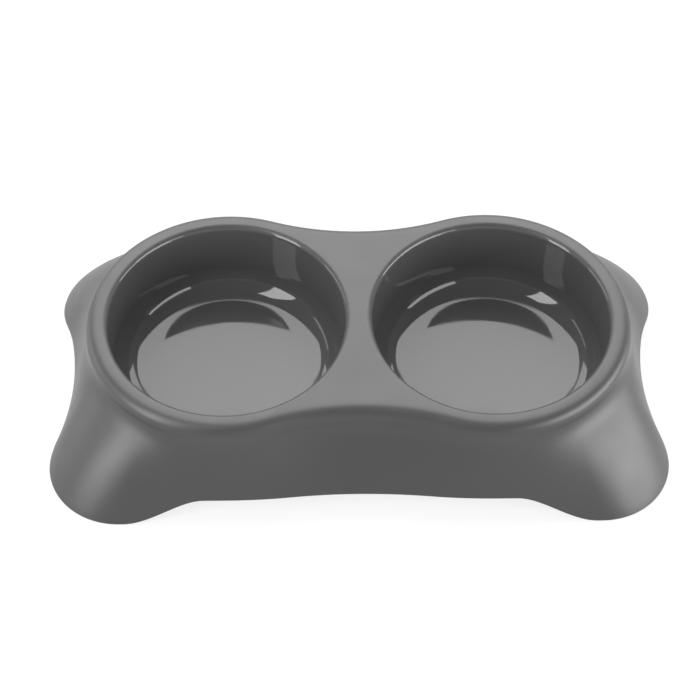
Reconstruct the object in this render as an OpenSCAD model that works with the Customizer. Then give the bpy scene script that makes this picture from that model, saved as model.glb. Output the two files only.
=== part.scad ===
// Double pet bowl: one moulded shell with two bowls, a flared skirt and four feet,
// and four rubber pads pressed up into bosses inside the feet.
// Origin on the ground under the middle of the shell, X along the bowls, Y to the back, Z up.

/* [Bowls] */
// Distance between the centres of the two bowls
bowl_pitch = 141; // [138:0.5:156]
// Radius of a bowl's wall just under its lip
bowl_r = 63.3; // [55:0.1:64.5]
// Depth of a bowl from the deck to the middle of its floor
bowl_depth = 48.7; // [36:0.1:52]
// Lean of a bowl's wall, in degrees
bowl_draft = 2; // [0.5:0.5:6]
// Radius between a bowl's wall and its floor
floor_round = 15.4; // [8:0.1:20]
// Radius of the shallow dish that the floor forms
dish_r = 640; // [400:10:2000]
// Radius that rolls the deck over into a bowl
lip_round = 3.3; // [2:0.1:3.3]

/* [Deck] */
// Height of the whole bowl from the ground to the deck
height = 60; // [52:0.5:80]
// Width of the rim round each bowl, from the bowl's wall to the outer edge
rim_w = 12; // [12:0.1:14]
// Radius that rolls the deck over into the skirt
rim_round = 8.6; // [4:0.1:8.6]
// Depth of the deck's turned-down edge
rim_drop = 8.8; // [8.7:0.1:12]
// Width of the deck at the waist between the bowls
waist_w = 127.5; // [110:0.5:132]
// Thickness of the deck and of the bowls
wall = 2.8; // [2:0.1:2.9]

/* [Skirt] */
// Distance from a left foot's centre to a right foot's
foot_pitch_x = 255.2; // [240:0.5:280]
// Distance from a front foot's centre to a back foot's
foot_pitch_y = 105.8; // [98:0.5:120]
// Radius of a foot's outline on the ground
foot_r = 39.4; // [34:0.5:44]
// Length of the shell across the waist of its short sides
side_waist = 316.6; // [306:0.5:320]
// Height of the hollow curve between the deck's edge and the flare
neck_h = 10; // [3:0.5:14]
// How far the corners swell out of a straight flare
belly = 3.2; // [0:0.1:5]
// Radius of the skirt's lower outer edge
edge_round = 0.8; // [0.4:0.1:1.2]

/* [Finger arches] */
// Height of the arch under a long side, above the feet
arch_h = 13.8; // [4:0.2:20]
// Half length of a long arch, out to where it meets the foot
arch_half = 125; // [110:0.5:127]
// Length over which a long arch runs down into a foot
arch_run = 42; // [30:0.5:60]
// Height of the arch under a short side, above the feet
end_arch_h = 5; // [2:0.2:10]
// Half length of a short arch
end_arch_half = 58; // [50:0.5:62]
// Length over which a short arch runs down into a foot
end_arch_run = 34; // [20:0.5:45]

/* [Rubber feet] */
// Radius of a rubber pad
pad_r = 8; // [6:0.1:9]
// Thickness of a rubber pad
pad_t = 3; // [2.4:0.1:5]
// How far a pad stands below the shell's feet
pad_proud = 0.8; // [0.4:0.1:1.5]
// Rounding of a pad's lower edge
pad_round = 0.7; // [0.3:0.1:1.2]
// Radius of the stem that is pushed into the boss
stem_r = 3; // [2:0.1:4]
// Length of the stem
stem_l = 7; // [4:0.5:12]
// Gap round the pad in its recess
pad_gap = 0.2; // [0.1:0.05:0.4]
// Gap round the stem in its bore
stem_gap = 0.1; // [0.05:0.05:0.2]

/* [Bosses and ribs] */
// Wall of a boss round its pad
boss_wall = 1.8; // [1.4:0.1:2.4]
// Thickness of the ribs
rib_t = 1.8; // [1.2:0.1:2.4]
// Gap between the ribs' lower edges and the long arch above which they stay
rib_lift = 2; // [1:0.5:6]
// Depth of the cross rib between the two bowls
cross_rib_h = 14; // [8:0.5:30]

/* [Hidden] */
$fn = 96;

// Small overrun of every cut past the face that it opens
overrun = 1;
// Height by which the lip's curve would rise over the deck, so that the two meet at a slight angle
lip_rise = 0.02;
// Facets of the whole circle of which the dish is a small piece
dish_facets = 720;

// Steps of the outline of one quarter of the skirt, and of its profile
side_steps = 4;
corner_steps = 16;
long_steps = 14;
roll_steps = 5;
neck_steps = 3;
flare_steps = 3;

bowl_x = bowl_pitch / 2;
rim_r = bowl_r + rim_w;
waist_y = waist_w / 2;
blend_r = (bowl_x * bowl_x + waist_y * waist_y - rim_r * rim_r) / (2 * (rim_r - waist_y));
blend_y = waist_y + blend_r;

base_z = pad_proud;
plate_z = height - wall;
drop_z = height - rim_drop;
skirt_h = drop_z - base_z;

foot_x = foot_pitch_x / 2;
foot_y = foot_pitch_y / 2;
long_y = foot_y + foot_r;
side_x = side_waist / 2;
side_in = side_x - foot_x;
side_r = (side_in * side_in + foot_y * foot_y - foot_r * foot_r) / (2 * (foot_r - side_in));
side_turn = asin(foot_y / (side_r + foot_r));
corner_turn = atan(foot_y / (foot_x - bowl_x));

boss_r = pad_r + pad_gap + boss_wall;
rib_z = base_z + arch_h + rib_lift;

body_color = [0.50, 0.50, 0.51];
rubber_color = [0.12, 0.12, 0.12];

// A smooth step from 0 to 1
function ease(t) = let (u = min(1, max(0, t))) u * u * (3 - 2 * u);

// Outline of the feet and sides at the ground, over one quarter:
// the hollow short side, the round foot, then the straight long side
quarter = concat(
    [for (i = [0 : side_steps - 1])
        let (a = side_turn * i / side_steps)
        [side_x + side_r * (1 - cos(a)), side_r * sin(a)]],
    [for (i = [0 : corner_steps - 1])
        let (a = -side_turn + (90 + side_turn) * i / corner_steps)
        [foot_x + foot_r * cos(a), foot_y + foot_r * sin(a)]],
    [for (i = [0 : long_steps])
        [foot_x * (1 - i / long_steps), long_y]]
);
quarter_steps = len(quarter) - 1;

// All four quarters, each point with the signs that place it
outline = concat(
    [for (i = [0 : quarter_steps - 1]) [quarter[i], 1, 1]],
    [for (i = [quarter_steps : -1 : 1]) [quarter[i], -1, 1]],
    [for (i = [0 : quarter_steps - 1]) [quarter[i], -1, -1]],
    [for (i = [quarter_steps : -1 : 1]) [quarter[i], 1, -1]]
);

// Does a point of the quarter outline lie beside the waist, and not beside a bowl?
function by_waist(b) = b[0] / bowl_x + b[1] / blend_y < 1;
// Centre of the arc of the deck's edge that a point of the outline looks at
function hub(b) = by_waist(b) ? [0, blend_y] : [bowl_x, 0];
// Unit direction in which the skirt flares to that point
function way(b) =
    let (v = b - hub(b))
    (by_waist(b) ? -1 : 1) * v / norm(v);
// Point of the deck's edge above it, and how far the skirt flares from there
function edge_point(b) = hub(b) + (by_waist(b) ? -blend_r : rim_r) * way(b);
function flare(b) = norm(b - edge_point(b));

// Share of the corner swell at a point, 1 on the ridge of the foot and 0 on the sides
function swell_share(b) =
    let (a = atan2(b[1], b[0] - bowl_x))
    a < corner_turn ? ease(a / corner_turn) : ease((90 - a) / (90 - corner_turn));

// Distance of the skirt from the deck's edge, at a depth s below the turned-down edge
function run_out(b, s) =
    let (slope = flare(b) / (skirt_h - neck_h / 2), u = s / skirt_h)
    (s < neck_h ? slope * s * s / (2 * neck_h) : slope * (s - neck_h / 2))
    + belly * swell_share(b) * 4 * u * (1 - u);
// Slope of that profile
function lean(b, s) =
    let (slope = flare(b) / (skirt_h - neck_h / 2))
    slope * min(1, s / neck_h) + belly * swell_share(b) * 4 * (1 - 2 * s / skirt_h) / skirt_h;
// A face inside the skirt, at a depth measured square to its slope
function run_in(b, s, inset) = run_out(b, s) - inset * sqrt(1 + lean(b, s) * lean(b, s));

// Height of the skirt's lower edge, raised into arches between the feet
function lower_edge(b) =
    base_z
    + (b[1] > foot_y ? arch_h * ease((arch_half - b[0]) / arch_run) : 0)
    + (b[0] > foot_x ? end_arch_h * ease((end_arch_half - b[1]) / end_arch_run) : 0);

// Depths of the profile's points, closer together in the hollow neck
function depths(b, lift) =
    let (last = drop_z - lower_edge(b) - lift)
    concat(
        [for (i = [0 : neck_steps]) neck_h * i / neck_steps],
        [for (i = [1 : flare_steps]) neck_h + (last - neck_h) * i / flare_steps]
    );

// Quarter round of the deck's turned-down edge, of radius r about the centre of its roll
function roll(r, angles) = [
    for (a = angles)
    [r * sin(a) - rim_round, height - rim_round + r * cos(a)]
];

// Section of the shell at one point: over the rolled edge, down the outside, round the lower
// edge, up the inside and back under the deck
function wall_section(b) =
    let (
        outer = depths(b, edge_round),
        inner = depths(b, 0),
        last = drop_z - lower_edge(b),
        count = len(outer)
    )
    concat(
        roll(rim_round, [0 : 90 / roll_steps : 90]),
        [for (s = outer) [run_out(b, s), drop_z - s]],
        [[run_out(b, last) - edge_round, lower_edge(b)]],
        [for (i = [count - 1 : -1 : 0]) [run_in(b, inner[i], wall), drop_z - inner[i]]],
        roll(rim_round - wall, [90, 0])
    );

// Puts a section's points in space
function in_space(o, section) =
    let (p = edge_point(o[0]), w = way(o[0]))
    [for (q = section) [o[1] * (p[0] + w[0] * q[0]), o[2] * (p[1] + w[1] * q[0]), q[1]]];

// Joins a ring of open sections into a solid, with a flat cap round a centre point at each end
module capped_loft(sections, first_centre, last_centre) {
    n = len(sections);
    m = len(sections[0]);
    polyhedron(
        points = concat([for (s = sections) for (p = s) p], [first_centre, last_centre]),
        faces = [
            for (i = [0 : n - 1])
            let (a = i * m, b = (i + 1) % n * m)
            each concat(
                [[n * m, b, a], [n * m + 1, a + m - 1, b + m - 1]],
                [for (j = [0 : m - 2]) each [[a + j, b + j, b + j + 1], [a + j, b + j + 1, a + j + 1]]]
            )
        ]
    );
}

// The deck and the lofted wall under it, as one skin
module skin() {
    capped_loft(
        [for (o = outline) in_space(o, wall_section(o[0]))],
        [0, 0, height],
        [0, 0, plate_z]
    );
}

// The room inside the skin, out to the middle of its wall, which trims bosses and ribs
module inner_room() {
    capped_loft(
        [
            for (o = outline)
            in_space(o, concat(
                [[-rim_round, plate_z + wall / 2]],
                [
                    for (k = [0 : flare_steps])
                    let (s = skirt_h * k / flare_steps)
                    [run_in(o[0], s, wall / 2), drop_z - s]
                ]
            ))
        ],
        [0, 0, plate_z + wall / 2],
        [0, 0, base_z]
    );
}

// Half section of a bowl from its axis out to its wall, grown by a thickness:
// a shallow dish, a round that touches both dish and wall, and the leaning wall
module bowl_section(grow, top_z) {
    lean_in = (bowl_depth - lip_round - floor_round) * tan(bowl_draft);
    round_r = bowl_r - lean_in - floor_round;
    dish_z = height - bowl_depth + dish_r;
    round_z = dish_z - sqrt(pow(dish_r - floor_round, 2) - round_r * round_r);
    touch_r = round_r * (dish_r + grow) / (dish_r - floor_round);
    foot_wall_r = round_r + floor_round + grow;
    intersection() {
        translate([0, dish_z]) circle(r = dish_r + grow, $fn = dish_facets);
        translate([0, round_z - bowl_depth]) square([touch_r, bowl_depth]);
    }
    intersection() {
        translate([round_r, round_z]) circle(r = floor_round + grow);
        translate([touch_r, round_z - bowl_depth]) square([foot_wall_r - touch_r, bowl_depth]);
    }
    polygon([
        [0, round_z],
        [foot_wall_r, round_z],
        [bowl_r + grow, height - lip_round],
        [bowl_r + grow, top_z],
        [0, top_z]
    ]);
}

// What the bowl leaves empty, with the lip that rolls over from the deck
module bowl_hollow() {
    lip_cut_r = bowl_r + lip_round;
    rotate_extrude() {
        bowl_section(0, height - lip_round);
        difference() {
            translate([0, height - lip_round - overrun]) square([lip_cut_r, lip_round + 2 * overrun]);
            translate([lip_cut_r, height - lip_round + lip_rise]) circle(r = lip_round);
            translate([bowl_r, height - lip_round - 2 * overrun]) square([lip_round, 2 * overrun]);
        }
    }
}

// Boss that carries a rubber pad in a foot, with four ribs to the shell round it
module boss() {
    rib_l = foot_r + wall;
    cylinder(r = boss_r, h = height - base_z);
    translate([0, 0, rib_z - base_z]) {
        for (turn = [0 : 90 : 270]) {
            rotate(corner_turn + turn) {
                translate([0, -rib_t / 2, 0]) cube([rib_l, rib_t, height - rib_z]);
            }
        }
    }
}

// Recess and bore that take a rubber pad and its stem
module pad_socket() {
    translate([0, 0, -overrun]) cylinder(r = pad_r + pad_gap, h = pad_t + overrun);
    cylinder(r = stem_r + stem_gap, h = pad_t + stem_l + overrun);
}

// Repeats its children at the four feet, turned so that each faces its own corner
module at_feet() {
    for (sx = [-1, 1]) {
        for (sy = [-1, 1]) {
            translate([sx * foot_x, sy * foot_y, 0])
                mirror([sx < 0 ? 1 : 0, 0, 0])
                    mirror([0, sy < 0 ? 1 : 0, 0])
                        children();
        }
    }
}

// The shell: deck, skirt, bowls, bosses and ribs, moulded in one piece
module body() {
    color(body_color)
    difference() {
        union() {
            skin();
            for (side = [-1, 1]) {
                translate([side * bowl_x, 0, 0])
                    rotate_extrude() bowl_section(wall, plate_z + wall / 2);
            }
            intersection() {
                inner_room();
                union() {
                    at_feet() translate([0, 0, base_z]) boss();
                    translate([-rib_t / 2, -long_y, plate_z - cross_rib_h])
                        cube([rib_t, 2 * long_y, cross_rib_h + wall / 2]);
                }
            }
        }
        for (side = [-1, 1]) {
            translate([side * bowl_x, 0, 0]) bowl_hollow();
        }
        at_feet() pad_socket();
    }
}

// Rubber pad with the stem that holds it in its boss
module rubber_foot(sx, sy) {
    color(rubber_color)
    translate([sx * foot_x, sy * foot_y, 0]) {
        rotate_extrude() {
            difference() {
                square([pad_r, pad_t]);
                translate([pad_r - pad_round, 0]) square(pad_round);
            }
            translate([pad_r - pad_round, pad_round]) circle(r = pad_round);
        }
        translate([0, 0, pad_t]) cylinder(r = stem_r, h = stem_l);
    }
}

module rubber_foot_front_left() { rubber_foot(-1, -1); }
module rubber_foot_front_right() { rubber_foot(1, -1); }
module rubber_foot_back_left() { rubber_foot(-1, 1); }
module rubber_foot_back_right() { rubber_foot(1, 1); }

body();
rubber_foot_front_left();
rubber_foot_front_right();
rubber_foot_back_left();
rubber_foot_back_right();
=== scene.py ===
import math

import bmesh
import bpy
from mathutils import Matrix, Vector


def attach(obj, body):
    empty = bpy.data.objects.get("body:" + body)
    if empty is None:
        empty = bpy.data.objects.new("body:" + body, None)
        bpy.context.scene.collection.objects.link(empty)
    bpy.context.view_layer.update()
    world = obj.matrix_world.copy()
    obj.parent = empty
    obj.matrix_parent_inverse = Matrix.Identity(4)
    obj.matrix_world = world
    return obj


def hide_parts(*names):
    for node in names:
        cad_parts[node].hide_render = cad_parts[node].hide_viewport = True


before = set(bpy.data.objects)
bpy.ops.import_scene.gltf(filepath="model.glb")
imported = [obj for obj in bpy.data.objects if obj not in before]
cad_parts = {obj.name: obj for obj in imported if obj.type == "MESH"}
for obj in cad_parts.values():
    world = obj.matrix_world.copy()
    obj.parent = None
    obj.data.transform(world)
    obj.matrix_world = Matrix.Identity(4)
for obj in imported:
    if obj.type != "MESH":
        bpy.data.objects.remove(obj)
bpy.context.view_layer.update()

# The camera
# It stands in front of the object and looks down on it over the near long side.
# Its place comes from a fit of the deck, the lips and the outline in an image 700 pixels wide.
mm = 0.001
camera_tilt = math.radians(51.98)
camera_swing = math.radians(0.985)
camera_cant = math.radians(0.36)
camera_distance = 1090.78 * mm
camera_aside = 4.633 * mm
camera_above = 17.979 * mm
aim_height = 60 * mm
film_width_mm = 36
lens_mm = 105.443

across = Vector((1, 0, 0))
upright = Vector((0, math.sin(camera_tilt), math.cos(camera_tilt)))
ahead = Vector((0, math.cos(camera_tilt), -math.sin(camera_tilt)))
place = -camera_aside * across - camera_above * upright - camera_distance * ahead
canted_across = across * math.cos(camera_cant) + upright * math.sin(camera_cant)
canted_upright = upright * math.cos(camera_cant) - across * math.sin(camera_cant)
swing = Matrix.Rotation(-camera_swing, 4, "Z")
pose = Matrix((canted_across, canted_upright, -ahead)).transposed().to_4x4()
pose.translation = place
camera = bpy.data.objects.new("camera", bpy.data.cameras.new("camera"))
camera.matrix_world = Matrix.Translation((0, 0, aim_height)) @ swing @ pose
camera.data.sensor_width = film_width_mm
camera.data.lens = lens_mm
bpy.context.scene.collection.objects.link(camera)
bpy.context.scene.camera = camera

# The shell
# One polypropylene moulding: a flat deck, two bowls, a rolled edge and a flared skirt on four feet.
# The mould is grained on the outside and polished inside the bowls, up to half-way over each lip.
height = 60 * mm
wall = 2.8 * mm
base_z = 0.8 * mm
bowl_x = 70.5 * mm
bowl_r = 63.3 * mm
bowl_depth = 48.7 * mm
wall_draft = math.radians(2)
floor_round = 15.4 * mm
dish_r = 600 * mm
heel_r = 60 * mm
heel_turn = math.radians(10.5)
lip_round = 3.3 * mm
rim_r = 75.3 * mm
rim_round = 8.6 * mm
rim_fullness = 2.7
rim_drop = 8.8 * mm
waist_y = 63.75 * mm
foot_x = 127.6 * mm
foot_y = 52.9 * mm
foot_r = 39.4 * mm
side_x = 158.3 * mm
neck_h = 10 * mm
belly = 3.2 * mm
edge_round = 0.8 * mm
inner_edge_round = 0.4 * mm
arch_h = 13.8 * mm
arch_half = 125 * mm
arch_run = 42 * mm
end_arch_h = 5 * mm
end_arch_half = 58 * mm
end_arch_run = 34 * mm

drop_z = height - rim_drop
skirt_h = drop_z - base_z
plate_z = height - wall
long_y = foot_y + foot_r
blend_r = (bowl_x**2 + waist_y**2 - rim_r**2) / (2 * (rim_r - waist_y))
blend_y = waist_y + blend_r
side_in = side_x - foot_x
side_r = (side_in**2 + foot_y**2 - foot_r**2) / (2 * (foot_r - side_in))
side_turn = math.asin(foot_y / (side_r + foot_r))
corner_turn = math.atan2(foot_y, foot_x - bowl_x)


def ease(t):
    """Goes smoothly from 0 to 1 as t does, and stays there."""
    u = min(1, max(0, t))
    return u * u * (3 - 2 * u)


def ground_outline(side_steps, corner_steps, long_steps):
    """Points where the skirt meets the ground, over one quarter, and the signs of all four."""
    quarter = []
    for i in range(side_steps):
        a = side_turn * i / side_steps
        quarter.append((side_x + side_r * (1 - math.cos(a)), side_r * math.sin(a)))
    for i in range(corner_steps):
        a = -side_turn + (math.pi / 2 + side_turn) * i / corner_steps
        quarter.append((foot_x + foot_r * math.cos(a), foot_y + foot_r * math.sin(a)))
    for i in range(long_steps + 1):
        quarter.append((foot_x * (1 - i / long_steps), long_y))
    out, back = quarter[:-1], quarter[:0:-1]
    return (
        [(p, 1, 1) for p in out]
        + [(p, -1, 1) for p in back]
        + [(p, -1, -1) for p in out]
        + [(p, 1, -1) for p in back]
    )


class Flank:
    """How the skirt runs from the deck's edge out to one point of the ground outline."""

    def __init__(self, mark):
        (x, y), self.sign_x, self.sign_y = mark
        by_waist = x / bowl_x + y / blend_y < 1
        hub = Vector((0, blend_y)) if by_waist else Vector((bowl_x, 0))
        away = Vector((x, y)) - hub
        self.way = -away.normalized() if by_waist else away.normalized()
        self.edge = hub + (-blend_r if by_waist else rim_r) * self.way
        flare = (Vector((x, y)) - self.edge).length
        self.slope = flare / (skirt_h - neck_h / 2)
        turn = math.atan2(y, x - bowl_x)
        if turn < corner_turn:
            self.swell = belly * ease(turn / corner_turn)
        else:
            self.swell = belly * ease((math.pi / 2 - turn) / (math.pi / 2 - corner_turn))
        self.lower = base_z
        if y > foot_y:
            self.lower += arch_h * ease((arch_half - x) / arch_run)
        if x > foot_x:
            self.lower += end_arch_h * ease((end_arch_half - y) / end_arch_run)
        self.last = drop_z - self.lower

    def out(self, s):
        """How far out the face is, a drop of s below the rolled edge."""
        u = s / skirt_h
        run = self.slope * (s * s / (2 * neck_h) if s < neck_h else s - neck_h / 2)
        return run + self.swell * 4 * u * (1 - u)

    def lean(self, s):
        """How steeply the face runs out there."""
        return self.slope * min(1, s / neck_h) + self.swell * 4 * (1 - 2 * s / skirt_h) / skirt_h

    def inside(self, s, inset):
        """How far out a face is that lies an inset inside this one."""
        return self.out(s) - inset * math.hypot(1, self.lean(s))

    def at(self, offset, z):
        """The point that lies an offset out from the deck's edge, at a height."""
        p = self.edge + self.way * offset
        return Vector((self.sign_x * p.x, self.sign_y * p.y, z))


def curve_through(start, corner, end, steps):
    """Points of a smooth corner between two straights, without its first point."""
    points = []
    for i in range(1, steps + 1):
        t = i / steps
        points.append(tuple(
            (1 - t) ** 2 * a + 2 * t * (1 - t) * b + t * t * c for a, b, c in zip(start, corner, end)))
    return points


def shell_profile(flank):
    """The moulded wall's section: over the rolled edge, down, round the lower edge and up inside."""
    deck_margin = 0.05 * mm
    rim_steps, neck_steps, face_steps, inner_steps, inner_rim_steps = 16, 8, 14, 12, 4
    points = [(-rim_round - deck_margin, height)]
    for i in range(rim_steps + 1):
        a = math.pi / 2 * i / rim_steps
        run, rise = math.sin(a) ** (2 / rim_fullness), math.cos(a) ** (2 / rim_fullness)
        points.append((rim_round * (run - 1), height - rim_round * (1 - rise)))
    for i in range(neck_steps + 1):
        s = neck_h * i / neck_steps
        points.append((flank.out(s), drop_z - s))
    face_end = flank.last - edge_round
    for i in range(1, face_steps + 1):
        s = neck_h + (face_end - neck_h) * i / face_steps
        points.append((flank.out(s), drop_z - s))
    low_out, low_in = flank.out(flank.last), flank.inside(flank.last, wall)
    points += curve_through(
        points[-1], (low_out, flank.lower), (low_out - edge_round, flank.lower), steps=4)
    points.append((low_in + inner_edge_round, flank.lower))
    inner_start = flank.last - inner_edge_round
    points += curve_through(
        points[-1], (low_in, flank.lower),
        (flank.inside(inner_start, wall), drop_z - inner_start), steps=3)
    for i in range(1, inner_steps + 1):
        s = inner_start * (1 - i / inner_steps)
        points.append((flank.inside(s, wall), drop_z - s))
    inner_round = rim_round - wall
    for i in range(inner_rim_steps + 1):
        a = math.pi / 2 * (1 - i / inner_rim_steps)
        points.append((
            inner_round * math.sin(a) - rim_round,
            height - rim_round + inner_round * math.cos(a)))
    return points


def loft(bm, marks, profile):
    """Extrudes a closed ring of vertices from one station of the profile to the next."""
    flanks = [Flank(m) for m in marks]
    profiles = [profile(f) for f in flanks]
    ring = [bm.verts.new(f.at(*p[0])) for f, p in zip(flanks, profiles)]
    edges = [bm.edges.new((a, b)) for a, b in zip(ring, ring[1:] + ring[:1])]
    first = edges
    for station in range(1, len(profiles[0])):
        order = {v: i for i, v in enumerate(ring)}
        made = bmesh.ops.extrude_edge_only(bm, edges=edges)["geom"]
        fresh = [v for v in made if isinstance(v, bmesh.types.BMVert)]
        ring = [None] * len(ring)
        for v in fresh:
            for e in v.link_edges:
                if e.other_vert(v) in order:
                    ring[order[e.other_vert(v)]] = v
        for v, f, p in zip(ring, flanks, profiles):
            v.co = f.at(*p[station])
        fresh = set(fresh)
        edges = [e for e in made if isinstance(e, bmesh.types.BMEdge) and set(e.verts) <= fresh]
    return first, edges


def bowl_profile(grow, top):
    """Half section of a bowl from its middle out to its wall, and up to a height."""
    lean_in = (bowl_depth - lip_round - floor_round) * math.tan(wall_draft)
    round_r = bowl_r - lean_in - floor_round
    heel_in = (heel_r - floor_round) * math.sin(heel_turn)
    touch = math.asin((round_r - heel_in) / (dish_r - heel_r))
    dish_z = height - bowl_depth + dish_r
    heel_z = dish_z - (dish_r - heel_r) * math.cos(touch)
    round_z = heel_z - (heel_r - floor_round) * math.cos(heel_turn)
    wall_steps = 4
    points = []
    for middle_r, middle_z, radius, start, end, steps in (
            (0, dish_z, dish_r, 0, touch, 10),
            (round_r - heel_in, heel_z, heel_r, touch, heel_turn, 8),
            (round_r, round_z, floor_round, heel_turn, math.pi / 2, 24)):
        for i in range(steps):
            a = start + (end - start) * i / steps
            points.append((
                middle_r + (radius + grow) * math.sin(a), middle_z - (radius + grow) * math.cos(a)))
    for i in range(wall_steps):
        t = i / wall_steps
        points.append((
            (round_r + floor_round + grow) * (1 - t) + (bowl_r + grow) * t,
            round_z * (1 - t) + (height - lip_round) * t))
    points.append((bowl_r + grow, top))
    return points


def lip_profile():
    """The lip from the bowl's wall up and over to the deck."""
    lip_margin = 0.02 * mm
    lip_steps = 12
    points = []
    for i in range(1, lip_steps + 1):
        a = math.pi / 2 * (1 - i / lip_steps)
        points.append((
            bowl_r + lip_round * (1 - math.sin(a)), height - lip_round * (1 - math.cos(a))))
    points.append((bowl_r + lip_round + lip_margin, height))
    return points


same_point = 0.001 * mm


def turned(profile, steps):
    """Spins a half section round the upright axis, into a mesh of its own."""
    lathe = bmesh.new()
    verts = [lathe.verts.new((r, 0, z)) for r, z in profile]
    edges = [lathe.edges.new(pair) for pair in zip(verts, verts[1:])]
    bmesh.ops.spin(
        lathe, geom=verts + edges, cent=(0, 0, 0), axis=(0, 0, 1), angle=2 * math.pi,
        steps=steps, use_merge=True, use_normal_flip=False, use_duplicate=False)
    bmesh.ops.remove_doubles(lathe, verts=lathe.verts[:], dist=same_point)
    mesh = bpy.data.meshes.new("turned")
    lathe.to_mesh(mesh)
    lathe.free()
    return mesh


def put(bm, mesh, x, y):
    """Adds a copy of a mesh at a place on the ground."""
    mesh.transform(Matrix.Translation((x, y, 0)))
    bm.from_mesh(mesh)
    mesh.transform(Matrix.Translation((-x, -y, 0)))


def open_edges(bm, z):
    """The edges at one height that have a face on one side only."""
    return [e for e in bm.edges if len(e.link_faces) == 1
            and all(abs(v.co.z - z) < same_point for v in e.verts)]


def close_up(bm):
    """Merges doubled points and turns all faces outwards."""
    bmesh.ops.remove_doubles(bm, verts=bm.verts[:], dist=same_point)
    bmesh.ops.recalc_face_normals(bm, faces=bm.faces[:])


def made_object(name, bm):
    """Puts the finished mesh into the scene under a name."""
    mesh = bpy.data.meshes.new(name)
    bm.to_mesh(mesh)
    bm.free()
    obj = bpy.data.objects.new(name, mesh)
    bpy.context.scene.collection.objects.link(obj)
    return obj


bowl_steps = 192
bm = bmesh.new()
loft(bm, ground_outline(side_steps=10, corner_steps=36, long_steps=36), shell_profile)
bowl_inside = turned(bowl_profile(0, height - lip_round) + lip_profile(), bowl_steps)
bowl_outside = turned(bowl_profile(wall, plate_z), bowl_steps)
for side in (-bowl_x, bowl_x):
    put(bm, bowl_inside, side, 0)
    put(bm, bowl_outside, side, 0)
bmesh.ops.remove_doubles(bm, verts=bm.verts[:], dist=same_point)
for z in (height, plate_z):
    bmesh.ops.triangle_fill(bm, use_beauty=True, edges=open_edges(bm, z), normal=(0, 0, 1))
close_up(bm)
shell = made_object("shell", bm)

# The bosses and ribs inside the shell
# Moulded in one with it: a boss with a socket in each foot, four ribs round each boss, and one
# rib across under the deck. They are closed parts of the shell's mesh, let half-way into its wall.
boss_r = 10 * mm
pad_r = 8 * mm
pad_t = 3 * mm
pad_play = 0.2 * mm
stem_r = 3 * mm
stem_l = 7 * mm
stem_play = 0.1 * mm
bore_spare = 1 * mm
rib_t = 1.8 * mm
rib_z = 16.6 * mm
rib_start = 4 * mm
cross_rib_h = 14 * mm
post_steps = 64
feet = [(sx, sy) for sx in (-1, 1) for sy in (-1, 1)]


def room_profile(flank):
    """The skirt's section half-way through its wall, as a limit for what stands inside it."""
    room_steps = 8
    points = [(-rim_round, plate_z + wall / 2)]
    for i in range(room_steps + 1):
        s = skirt_h * i / room_steps
        points.append((flank.inside(s, wall / 2), drop_z - s))
    points.append((points[-1][0], -base_z))
    return points


def room_in_shell():
    """All that lies inside the skirt and under the deck, out to half-way through the wall."""
    bm = bmesh.new()
    outline = ground_outline(side_steps=6, corner_steps=20, long_steps=16)
    top, bottom = loft(bm, outline, room_profile)
    bmesh.ops.triangle_fill(bm, use_beauty=True, edges=top, normal=(0, 0, 1))
    bmesh.ops.triangle_fill(bm, use_beauty=True, edges=bottom, normal=(0, 0, -1))
    close_up(bm)
    return made_object("room", bm)


def bowl_cores():
    """Both bowls filled up, out to half-way through their walls."""
    bm = bmesh.new()
    core = turned(bowl_profile(wall / 2, height) + [(0, height)], bowl_steps // 2)
    for side in (-bowl_x, bowl_x):
        put(bm, core, side, 0)
    close_up(bm)
    return made_object("bowl_cores", bm)


def posts(r, low, high):
    """One upright round post in each foot."""
    bm = bmesh.new()
    for sx, sy in feet:
        bmesh.ops.create_cone(
            bm, cap_ends=True, segments=post_steps, radius1=r, radius2=r, depth=high - low,
            matrix=Matrix.Translation((sx * foot_x, sy * foot_y, (high + low) / 2)))
    return bm


def boss_ribs(quarter_turns):
    """The rib of each foot that points away from its bowl, turned on by quarters."""
    bm = bmesh.new()
    reach = foot_r + wall
    for sx, sy in feet:
        bmesh.ops.create_cube(
            bm, size=1,
            matrix=Matrix.Translation((sx * foot_x, sy * foot_y, (height + rib_z) / 2))
            @ Matrix.Diagonal((sx, sy, 1, 1))
            @ Matrix.Rotation(corner_turn + quarter_turns * math.pi / 2, 4, "Z")
            @ Matrix.Translation(((rib_start + reach) / 2, 0, 0))
            @ Matrix.Diagonal((reach - rib_start, rib_t, height - rib_z, 1)))
    return bm


def cross_rib():
    """The rib from front to back under the deck, between the bowls."""
    bm = bmesh.new()
    low = plate_z - cross_rib_h
    bmesh.ops.create_cube(
        bm, size=1,
        matrix=Matrix.Translation((0, 0, (height + low) / 2))
        @ Matrix.Diagonal((rib_t, 2 * long_y, height - low, 1)))
    return bm


def trim(piece, tool, operation):
    """Keeps what of a piece is inside a tool, or cuts the tool away from it."""
    change = piece.modifiers.new(operation, "BOOLEAN")
    change.operation = operation
    change.object = tool
    change.solver = "EXACT"
    seen = piece.evaluated_get(bpy.context.evaluated_depsgraph_get())
    result = bpy.data.meshes.new_from_object(seen)
    piece.modifiers.clear()
    piece.data = result


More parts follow.
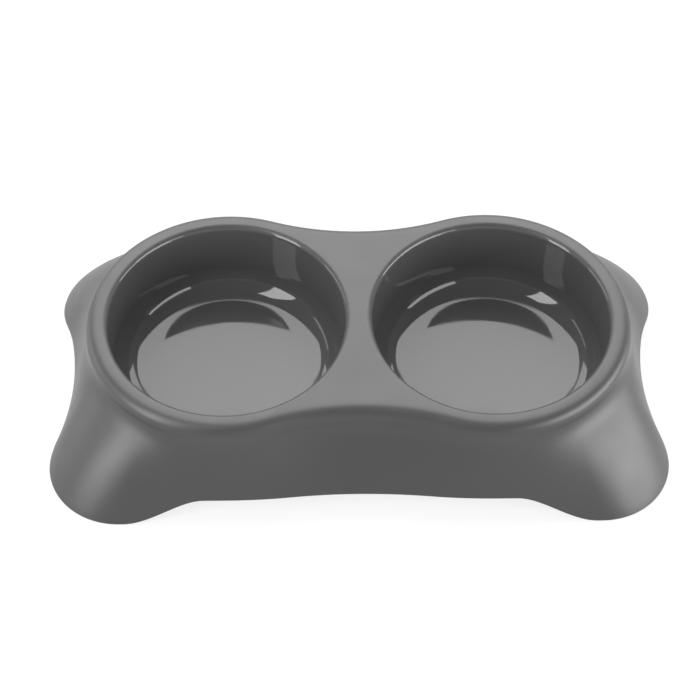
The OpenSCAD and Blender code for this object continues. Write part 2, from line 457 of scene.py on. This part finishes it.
room = room_in_shell()
cores = bowl_cores()
seats = made_object("seats", posts(pad_r + pad_play, -base_z, pad_t))
bores = made_object("bores", posts(stem_r + stem_play, 0, pad_t + stem_l + bore_spare))
joined = bmesh.new()
joined.from_mesh(shell.data)
for bm, cut_away in (
        (posts(boss_r, base_z, height), (seats, bores)),
        (boss_ribs(0), ()),
        (boss_ribs(1), ()),
        (boss_ribs(2), (cores,)),
        (boss_ribs(3), ()),
        (cross_rib(), ())):
    bmesh.ops.recalc_face_normals(bm, faces=bm.faces[:])
    fitting = made_object("fitting", bm)
    trim(fitting, room, "INTERSECT")
    for tool in cut_away:
        trim(fitting, tool, "DIFFERENCE")
    joined.from_mesh(fitting.data)
    bpy.data.objects.remove(fitting)
joined.to_mesh(shell.data)
joined.free()
for tool in (room, cores, seats, bores):
    bpy.data.objects.remove(tool)

# The shell's two finishes
# One grey plastic: satin from the grained mould, glossy from the polished cores, though the bowls are
# given a lighter pigment as painted light for the shade inside them.
# Its tone is slightly cloudy and its gloss slightly uneven, as on any large moulding.
polish_turn = math.radians(45)
polish_r = bowl_r + lip_round * (1 - math.sin(polish_turn))
almost_none = 0.01
crease_turn = math.radians(28)


def moulded_surface():
    """A node group for whatever leaves a mould: cloudy tone, uneven gloss and a fine grain."""
    clouds_per_metre, smears_per_metre = 24, 70
    noise_low, noise_high = 0.3, 0.7
    group = bpy.data.node_groups.new("moulded_surface", "ShaderNodeTree")
    for name, kind in (
            ("Place", "Vector"), ("Pigment", "Color"), ("Clouding", "Float"), ("Roughness", "Float"),
            ("Unevenness", "Float"), ("Grain per Metre", "Float")):
        group.interface.new_socket(name=name, in_out="INPUT", socket_type="NodeSocket" + kind)
    for name, kind in (("Colour", "Color"), ("Roughness", "Float"), ("Grain", "Float")):
        group.interface.new_socket(name=name, in_out="OUTPUT", socket_type="NodeSocket" + kind)
    nodes, links = group.nodes, group.links
    given = nodes.new("NodeGroupInput").outputs
    result = nodes.new("NodeGroupOutput").inputs

    def feed(socket, value):
        if isinstance(value, (int, float)):
            socket.default_value = value
        else:
            links.new(value, socket)

    def pattern(per_metre, detail):
        noise = nodes.new("ShaderNodeTexNoise")
        feed(noise.inputs["Vector"], given["Place"])
        feed(noise.inputs["Scale"], per_metre)
        feed(noise.inputs["Detail"], detail)
        return noise.outputs["Fac"]

    def about(middle, drift, noise):
        """The middle value, moved up and down by the pattern."""
        spread = nodes.new("ShaderNodeMapRange")
        feed(spread.inputs["Value"], noise)
        feed(spread.inputs["From Min"], noise_low)
        feed(spread.inputs["From Max"], noise_high)
        feed(spread.inputs["To Min"], -1)
        feed(spread.inputs["To Max"], 1)
        value = nodes.new("ShaderNodeMath")
        value.operation = "MULTIPLY_ADD"
        for socket, part in zip(value.inputs, (spread.outputs["Result"], drift, middle)):
            feed(socket, part)
        return value.outputs[0]

    tone = nodes.new("ShaderNodeHueSaturation")
    feed(tone.inputs["Color"], given["Pigment"])
    clouds = pattern(clouds_per_metre, detail=4)
    smears = pattern(smears_per_metre, detail=3)
    feed(tone.inputs["Value"], about(1, given["Clouding"], clouds))
    feed(result["Colour"], tone.outputs["Color"])
    feed(result["Roughness"], about(given["Roughness"], given["Unevenness"], smears))
    feed(result["Grain"], pattern(given["Grain per Metre"], detail=2))
    return group


def new_material(name):
    """A material whose node tree holds its output and nothing else yet."""
    material = bpy.data.materials.new(name)
    material.use_nodes = True
    tree = material.node_tree
    tree.nodes.clear()
    output = tree.nodes.new("ShaderNodeOutputMaterial")
    return material, tree, output


moulded_finish = moulded_surface()


def moulded(name, pigment, shine, clouding, roughness, unevenness, per_metre, depth):
    """A material out of the mould; depth is how deep its grain or waviness goes."""
    material, tree, output = new_material(name)
    surface = tree.nodes.new("ShaderNodeBsdfPrincipled")
    surface.inputs["Specular IOR Level"].default_value = shine
    place = tree.nodes.new("ShaderNodeTexCoord")
    finish = tree.nodes.new("ShaderNodeGroup")
    finish.node_tree = moulded_finish
    for socket, value in (
            ("Pigment", (*pigment, 1)), ("Clouding", clouding), ("Roughness", roughness),
            ("Unevenness", unevenness), ("Grain per Metre", per_metre)):
        finish.inputs[socket].default_value = value
    bump = tree.nodes.new("ShaderNodeBump")
    bump.inputs["Strength"].default_value = 1
    bump.inputs["Distance"].default_value = depth
    for start, end in (
            (place.outputs["Object"], finish.inputs["Place"]),
            (finish.outputs["Grain"], bump.inputs["Height"]),
            (finish.outputs["Colour"], surface.inputs["Base Color"]),
            (finish.outputs["Roughness"], surface.inputs["Roughness"]),
            (bump.outputs["Normal"], surface.inputs["Normal"]),
            (surface.outputs["BSDF"], output.inputs["Surface"])):
        tree.links.new(start, end)
    return material


def in_polished_bowl(face):
    """Whether a face belongs to the inside of a bowl, up to half-way over its lip."""
    centre = face.calc_center_median()
    from_middle = Vector((centre.x - math.copysign(bowl_x, centre.x), centre.y))
    in_hollow = centre.z > height - bowl_depth - wall / 2 and from_middle.length < polish_r
    looks_up = face.normal.z > -almost_none
    looks_inwards = from_middle.dot(face.normal.xy) <= 0
    return in_hollow and looks_up and looks_inwards


def smooth_with_creases(bm):
    """Shades the faces smoothly, with the sharp edges kept."""
    for f in bm.faces:
        f.smooth = True
    for e in bm.edges:
        if len(e.link_faces) == 2 and e.calc_face_angle() > crease_turn:
            e.smooth = False


shell.data.materials.append(moulded(
    "satin_shell", pigment=(0.046, 0.046, 0.047), shine=0.6, clouding=0.035,
    roughness=0.42, unevenness=0.025, per_metre=2400, depth=0.012 * mm))
# The bowls' pigment is lighter than the satin's: painted light that brightens the shaded insides of
# the bowls, not a second colour of plastic.
shell.data.materials.append(moulded(
    "polished_bowls_painted_lighter", pigment=(0.078, 0.078, 0.0795), shine=0.5, clouding=0.02,
    roughness=0.055, unevenness=0.015, per_metre=55, depth=0.02 * mm))
bm = bmesh.new()
bm.from_mesh(shell.data)
bmesh.ops.remove_doubles(bm, verts=bm.verts[:], dist=same_point)
for f in bm.faces:
    f.material_index = 1 if in_polished_bowl(f) else 0
smooth_with_creases(bm)
bm.to_mesh(shell.data)
bm.free()

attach(shell, "root")
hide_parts("body")

# The rubber feet
# Four soft rubber pads that keep the bowls from sliding, each with a stem pushed up into its boss.
# They are moulded plain, with a rounded lower edge.
pad_round = 0.7 * mm
pad_round_steps = 6
pad_steps = 64
rubber = moulded(
    "rubber", pigment=(0.03, 0.03, 0.03), shine=0.5, clouding=0.12,
    roughness=0.62, unevenness=0.06, per_metre=1600, depth=0.03 * mm)
profile = [(0, 0)]
for i in range(pad_round_steps + 1):
    a = math.pi / 2 * i / pad_round_steps
    profile.append((pad_r - pad_round * (1 - math.sin(a)), pad_round * (1 - math.cos(a))))
profile += [(pad_r, pad_t), (stem_r, pad_t), (stem_r, pad_t + stem_l), (0, pad_t + stem_l)]
pad_shape = turned(profile, pad_steps)
for side, sx in (("left", -1), ("right", 1)):
    for end, sy in (("front", -1), ("back", 1)):
        bm = bmesh.new()
        put(bm, pad_shape, sx * foot_x, sy * foot_y)
        close_up(bm)
        smooth_with_creases(bm)
        pad = made_object(f"rubber_pad_{end}_{side}", bm)
        pad.data.materials.append(rubber)
        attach(pad, "root")
        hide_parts(f"rubber_foot_{end}_{side}")

# The floor
# A pale paper sweep: flat under the object, and curved up into a wall well away on all sides.
# It shows white to the camera and in reflections, and its own dim colour takes the object's shadow.
flat_r = 4.5
curve_r = 1
sweep_top = 2
curve_steps = 12
turn_steps = 96
paper_grey = 0.2
white_strength = 0.8
paper_sweep, tree, output = new_material("paper_sweep")
paper_sweep.cycles.emission_sampling = "NONE"
paper = tree.nodes.new("ShaderNodeBsdfDiffuse")
paper.inputs["Color"].default_value = (paper_grey, paper_grey, paper_grey, 1)
glow = tree.nodes.new("ShaderNodeEmission")
glow.inputs["Color"].default_value = (1, 1, 1, 1)
path = tree.nodes.new("ShaderNodeLightPath")
shown = path.outputs["Is Camera Ray"]
for ray in ("Is Glossy Ray", "Is Transmission Ray"):
    either = tree.nodes.new("ShaderNodeMath")
    either.operation = "MAXIMUM"
    tree.links.new(shown, either.inputs[0])
    tree.links.new(path.outputs[ray], either.inputs[1])
    shown = either.outputs[0]
white = tree.nodes.new("ShaderNodeMath")
white.operation = "MULTIPLY"
white.inputs[1].default_value = white_strength
both = tree.nodes.new("ShaderNodeAddShader")
for start, end in (
        (shown, white.inputs[0]), (white.outputs[0], glow.inputs["Strength"]),
        (paper.outputs[0], both.inputs[0]), (glow.outputs[0], both.inputs[1]),
        (both.outputs[0], output.inputs["Surface"])):
    tree.links.new(start, end)
sweep = [(0, 0), (flat_r, 0)]
for i in range(1, curve_steps + 1):
    a = math.pi / 2 * i / curve_steps
    sweep.append((flat_r + curve_r * math.sin(a), curve_r * (1 - math.cos(a))))
sweep.append((flat_r + curve_r, sweep_top))
bm = bmesh.new()
put(bm, turned(sweep, turn_steps), 0, 0)
for f in bm.faces:
    f.smooth = True
floor = made_object("floor", bm)
floor.data.materials.append(paper_sweep)

# The light
# A dim room with a wide soft panel over and behind the object, whose lower edge is level and sharp,
# and upright softboxes: a tall narrow one close on the left, low ones further off and one behind.
room_level = 0.3
panel_level = 4.5
panel_foot_z = math.sin(math.radians(47.5))
panel_foot_blur = 0.006
panel_top_full_z, panel_top_none_z = 0.93, 0.99
panel_side_none, panel_side_full = 0.58, 0.68
world = bpy.data.worlds.new("studio")
bpy.context.scene.world = world
world.use_nodes = True
tree = world.node_tree
tree.nodes.clear()


def reckon(operation, *values):
    """Adds a math node to the room's light and gives its result."""
    node = tree.nodes.new("ShaderNodeMath")
    node.operation = operation
    for socket, value in zip(node.inputs, values):
        if isinstance(value, (int, float)):
            socket.default_value = value
        else:
            tree.links.new(value, socket)
    return node.outputs[0]


def fade(value, start, end):
    """Goes smoothly from 0 at one value to 1 at another."""
    node = tree.nodes.new("ShaderNodeMapRange")
    node.interpolation_type = "SMOOTHSTEP"
    node.inputs["From Min"].default_value = start
    node.inputs["From Max"].default_value = end
    tree.links.new(value, node.inputs["Value"])
    return node.outputs["Result"]


towards = tree.nodes.new("ShaderNodeTexCoord")
part = tree.nodes.new("ShaderNodeSeparateXYZ")
tree.links.new(towards.outputs["Generated"], part.inputs[0])
up, back = part.outputs["Z"], part.outputs["Y"]
level_part = reckon("SQRT", reckon("SUBTRACT", 1, reckon("MULTIPLY", up, up)))
panel = reckon(
    "MULTIPLY", fade(up, panel_foot_z - panel_foot_blur, panel_foot_z + panel_foot_blur),
    fade(up, panel_top_none_z, panel_top_full_z))
panel = reckon(
    "MULTIPLY", panel, fade(reckon("DIVIDE", back, level_part), panel_side_none, panel_side_full))
room_light = tree.nodes.new("ShaderNodeBackground")
room_light.inputs["Color"].default_value = (1, 1, 1, 1)
tree.links.new(reckon("MULTIPLY_ADD", panel, panel_level, room_level), room_light.inputs["Strength"])
output = tree.nodes.new("ShaderNodeOutputWorld")
tree.links.new(room_light.outputs[0], output.inputs["Surface"])


def softbox(name, azimuth, distance, low, high, width, radiance):
    """An upright area lamp on a stand that faces the middle, at an azimuth from +X towards +Y."""
    watts_per_square_metre = 4 * radiance
    a = math.radians(azimuth)
    direction = Vector((math.cos(a), math.sin(a), 0))
    lamp = bpy.data.lights.new(name, "AREA")
    lamp.shape = "RECTANGLE"
    lamp.size, lamp.size_y = width, high - low
    lamp.energy = watts_per_square_metre * width * (high - low)
    obj = bpy.data.objects.new(name, lamp)
    obj.location = direction * distance + Vector((0, 0, (low + high) / 2))
    obj.rotation_mode = "QUATERNION"
    obj.rotation_quaternion = direction.to_track_quat("Z", "Y")
    obj.visible_camera = False
    bpy.context.scene.collection.objects.link(obj)


softbox("left_strip", azimuth=212.4, distance=0.67, low=0.1, high=1.32, width=0.25, radiance=6)
softbox("right_wide", azimuth=342, distance=1.0, low=0, high=0.36, width=1.1, radiance=5.5)
softbox("right_high", azimuth=327, distance=1.0, low=0.36, high=0.64, width=0.9, radiance=4.2)
softbox("back_low", azimuth=90, distance=1.8, low=0.6, high=1.95, width=3.4, radiance=3)
softbox("left_back", azimuth=165, distance=1.3, low=0, high=0.75, width=0.7, radiance=1.6)

scene = bpy.context.scene
scene.view_settings.view_transform = "Standard"
